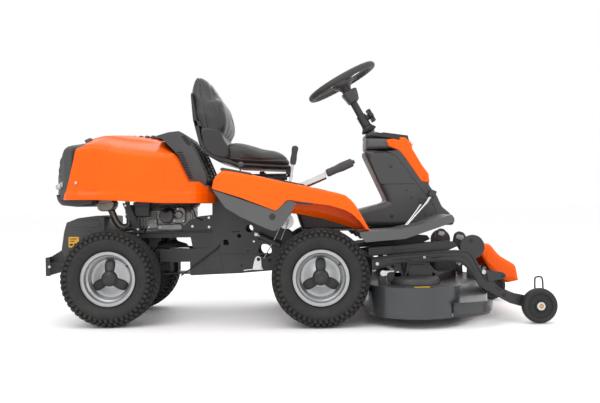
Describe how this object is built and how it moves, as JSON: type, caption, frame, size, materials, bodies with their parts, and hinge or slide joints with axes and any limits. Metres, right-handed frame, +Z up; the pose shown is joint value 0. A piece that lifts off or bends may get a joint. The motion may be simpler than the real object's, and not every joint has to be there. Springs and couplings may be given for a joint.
{
  "type": "riding lawn mower",
  "caption": "Articulated riding lawn mower: front cutting deck, seat over the front axle, engine under a rear hood, steered rear bogie.",
  "frame": {"origin": "On the ground, under the middle of the machine's bounding box", "axes": "+X forward, +Y left, +Z up"},
  "size_m": [2.17, 0.9938, 1.1575],
  "materials": {
    "orange_plastic": "Orange moulded polypropylene and painted steel covers, glossy with a light grain",
    "dark_plastic": "Dark grey moulded plastic with a fine leather-like grain",
    "grey_plastic": "Mid grey moulded plastic, satin",
    "black_plastic": "Black moulded plastic, satin",
    "seat_vinyl": "Black vinyl over foam, soft grain and sewn seams",
    "black_steel": "Black powder-coated steel",
    "grey_steel": "Dark grey powder-coated deck steel",
    "bare_steel": "Zinc plated and bare steel",
    "rim_silver": "Silver painted pressed steel wheels",
    "tyre_rubber": "Black tyre rubber with dusty block tread",
    "belt_rubber": "Black V-belt rubber",
    "cast_alloy": "Sand cast aluminium, matt",
    "filter_black": "Black enamelled filter can",
    "tank_plastic": "Translucent white polyethylene, matt"
  },
  "bodies": {
    "front": {"front_frame": "black_steel", "engine_block": "cast_alloy", "engine_shroud": "dark_plastic", "oil_filter": "filter_black", "muffler": "bare_steel", "fuel_tank": "tank_plastic", "fender_body": "orange_plastic", "side_panels": "grey_plastic", "foot_plate": "grey_plastic", "pedestal": "dark_plastic", "dash_shroud": "dark_plastic", "dash_inlay": "orange_plastic", "column_tube": "black_steel", "throttle_plate": "dark_plastic"},
    "hood": {"hood_shell": "orange_plastic", "hood_louvre": "dark_plastic", "hood_tail_grille": "dark_plastic"},
    "seat_base": {"seat_slide": "black_steel"},
    "seat": {"seat_pan": "black_steel", "seat_cushion": "seat_vinyl", "seat_backrest": "seat_vinyl"},
    "upper_column": {"column_upper": "black_steel"},
    "steering_wheel": {"steering_wheel": "black_plastic"},
    "lock_knob": {"lock_knob": "black_plastic"},
    "cable_pulley": {"cable_pulley": "bare_steel"},
    "lift_lever": {"lift_lever": "bare_steel", "lift_grip": "black_plastic"},
    "lift_button": {"lift_button": "black_plastic"},
    "height_lever": {"height_lever": "black_plastic"},
    "throttle_lever": {"throttle_lever": "black_plastic"},
    "forward_pedal": {"forward_pedal": "bare_steel"},
    "reverse_pedal": {"reverse_pedal": "bare_steel"},
    "brake_pedal": {"brake_pedal": "bare_steel"},
    "bogie": {"rear_frame": "black_steel", "rear_cover": "dark_plastic", "rear_bumper": "black_steel", "transaxle": "cast_alloy", "drive_belt": "belt_rubber"},
    "drive_pulley": {"drive_pulley": "bare_steel"},
    "crank": {"crank_pulley": "bare_steel"},
    "wheel_front_right": {"tyre_front_right": "tyre_rubber", "rim_front_right": "rim_silver"},
    "wheel_front_left": {"tyre_front_left": "tyre_rubber", "rim_front_left": "rim_silver"},
    "wheel_rear_right": {"tyre_rear_right": "tyre_rubber", "rim_rear_right": "rim_silver"},
    "wheel_rear_left": {"tyre_rear_left": "tyre_rubber", "rim_rear_left": "rim_silver"},
    "deck_frame": {"deck_frame": "black_steel", "deck_front_cover": "orange_plastic"},
    "rear_links": {"rear_links": "bare_steel"},
    "front_links": {"front_links": "bare_steel"},
    "deck": {"deck_shell": "grey_steel", "belt_covers": "dark_plastic", "blade_belt": "belt_rubber"},
    "blade_right": {"blade_right": "bare_steel"},
    "blade_centre": {"blade_centre": "bare_steel"},
    "blade_left": {"blade_left": "bare_steel"},
    "deck_wheel_right": {"deck_wheel_right": "black_plastic"},
    "deck_wheel_left": {"deck_wheel_left": "black_plastic"}
  },
  "joints": [
    {"name": "rear_steer", "type": "hinge", "parent": "front", "child": "bogie", "pos_m": [-0.565, 0, 0.229], "axis": [0, 0, 1], "range_deg": [-38, 38]},
    {"name": "column_reach", "type": "slide", "parent": "front", "child": "upper_column", "axis": [-0.4772, 0, 0.8788], "range_m": [-0.03, 0.03]},
    {"name": "steering_wheel_turn", "type": "hinge", "parent": "upper_column", "child": "steering_wheel", "pos_m": [0.24132, 0, 1.0621], "axis": [-0.4772, 0, 0.8788], "range_deg": [-480, 480]},
    {"name": "lock_knob_turn", "type": "hinge", "parent": "front", "child": "lock_knob", "pos_m": [0.33437, 0, 0.89073], "axis": [0.8788, 0, 0.4772], "range_deg": [0, 270]},
    {"name": "cable_pulley_turn", "type": "hinge", "parent": "front", "child": "cable_pulley", "pos_m": [-0.027, -0.13, 0.43], "axis": [0, 1, 0], "range_deg": [-120, 120]},
    {"name": "seat_travel", "type": "slide", "parent": "front", "child": "seat_base", "axis": [1, 0, 0], "range_m": [-0.015, 0.075]},
    {"name": "seat_tilt", "type": "hinge", "parent": "seat_base", "child": "seat", "pos_m": [-0.01, 0, 0.652], "axis": [0, 1, 0], "range_deg": [0, 42]},
    {"name": "hood_open", "type": "hinge", "parent": "front", "child": "hood", "pos_m": [-1.01, 0, 0.548], "axis": [0, -1, 0], "range_deg": [0, 75]},
    {"name": "lift_lever_swing", "type": "hinge", "parent": "front", "child": "lift_lever", "pos_m": [-0.06, -0.33, 0.543], "axis": [0, -1, 0], "range_deg": [0, 55]},
    {"name": "lift_button_press", "type": "slide", "parent": "lift_lever", "child": "lift_button", "axis": [0.9219, 0, 0.3875], "range_m": [-0.006, 0], "stiffness_N_per_m": 400, "springref_m": 0.004},
    {"name": "height_lever_swing", "type": "hinge", "parent": "front", "child": "height_lever", "pos_m": [-0.06, -0.375, 0.543], "axis": [0, 1, 0], "range_deg": [-20, 20]},
    {"name": "throttle_swing", "type": "hinge", "parent": "front", "child": "throttle_lever", "pos_m": [-0.212, -0.364, 0.612], "axis": [0, 1, 0], "range_deg": [-25, 25]},
    {"name": "forward_pedal_press", "type": "hinge", "parent": "front", "child": "forward_pedal", "pos_m": [0.478, -0.216, 0.384], "axis": [0, 1, 0], "range_deg": [0, 20], "stiffness_Nm_per_rad": 4, "springref_deg": -20.05},
    {"name": "reverse_pedal_press", "type": "hinge", "parent": "front", "child": "reverse_pedal", "pos_m": [0.478, -0.176, 0.384], "axis": [0, 1, 0], "range_deg": [0, 20], "stiffness_Nm_per_rad": 4, "springref_deg": -20.05},
    {"name": "brake_pedal_press", "type": "hinge", "parent": "front", "child": "brake_pedal", "pos_m": [0.478, 0.216, 0.384], "axis": [0, 1, 0], "range_deg": [0, 20], "stiffness_Nm_per_rad": 4, "springref_deg": -20.05},
    {"name": "crank_turn", "type": "hinge", "parent": "front", "child": "crank", "pos_m": [-0.565, 0, 0.29], "axis": [0, 0, 1], "continuous": true},
    {"name": "drive_pulley_turn", "type": "hinge", "parent": "bogie", "child": "drive_pulley", "pos_m": [-0.79, 0, 0.283], "axis": [0, 0, 1], "continuous": true},
    {"name": "wheel_front_right_roll", "type": "hinge", "parent": "front", "child": "wheel_front_right", "pos_m": [0.116, -0.357, 0.2035], "axis": [0, 1, 0], "continuous": true},
    {"name": "wheel_front_left_roll", "type": "hinge", "parent": "front", "child": "wheel_front_left", "pos_m": [0.116, 0.357, 0.2035], "axis": [0, 1, 0], "continuous": true},
    {"name": "wheel_rear_right_roll", "type": "hinge", "parent": "bogie", "child": "wheel_rear_right", "pos_m": [-0.774, -0.265, 0.2035], "axis": [0, 1, 0], "continuous": true},
    {"name": "wheel_rear_left_roll", "type": "hinge", "parent": "bogie", "child": "wheel_rear_left", "pos_m": [-0.774, 0.265, 0.2035], "axis": [0, 1, 0], "continuous": true},
    {"name": "deck_lift", "type": "hinge", "parent": "front", "child": "deck_frame", "pos_m": [0.262, 0, 0.23], "axis": [0, -1, 0], "range_deg": [0, 10]},
    {"name": "deck_wheel_right_roll", "type": "hinge", "parent": "deck_frame", "child": "deck_wheel_right", "pos_m": [1.0125, -0.375, 0.0725], "axis": [0, 1, 0], "continuous": true},
    {"name": "deck_wheel_left_roll", "type": "hinge", "parent": "deck_frame", "child": "deck_wheel_left", "pos_m": [1.0125, 0.375, 0.0725], "axis": [0, 1, 0], "continuous": true},
    {"name": "cutting_height", "type": "hinge", "parent": "deck_frame", "child": "rear_links", "pos_m": [0.44, 0, 0.209], "axis": [0, 1, 0], "range_deg": [-24, 24]},
    {"name": "deck_level", "type": "hinge", "parent": "rear_links", "child": "deck", "pos_m": [0.38, 0, 0.209], "axis": [0, 1, 0], "range_deg": [-24, 24]},
    {"name": "front_link_swing", "type": "hinge", "parent": "deck_frame", "child": "front_links", "pos_m": [0.852, 0, 0.209], "axis": [0, 1, 0], "range_deg": [-24, 24]},
    {"name": "blade_centre_turn", "type": "hinge", "parent": "deck", "child": "blade_centre", "pos_m": [0.692, 0, 0.1], "axis": [0, 0, 1], "continuous": true},
    {"name": "blade_right_turn", "type": "hinge", "parent": "deck", "child": "blade_right", "pos_m": [0.516, -0.3, 0.1], "axis": [0, 0, 1], "continuous": true},
    {"name": "blade_left_turn", "type": "hinge", "parent": "deck", "child": "blade_left", "pos_m": [0.516, 0.3, 0.1], "axis": [0, 0, 1], "continuous": true}
  ],
  "couplings": [
    {"joint": "steering_wheel_turn", "follows": "rear_steer", "ratio": -12.6},
    {"joint": "cable_pulley_turn", "follows": "rear_steer", "ratio": 3},
    {"joint": "drive_pulley_turn", "follows": "crank_turn", "ratio": 1.425},
    {"joint": "lift_lever_swing", "follows": "deck_lift", "ratio": 5.5},
    {"joint": "deck_level", "follows": "cutting_height", "ratio": -1},
    {"joint": "front_link_swing", "follows": "cutting_height", "ratio": 1},
    {"joint": "height_lever_swing", "follows": "cutting_height", "ratio": 0.8333},
    {"joint": "blade_right_turn", "follows": "blade_centre_turn", "ratio": 1},
    {"joint": "blade_left_turn", "follows": "blade_centre_turn", "ratio": 1}
  ]
}
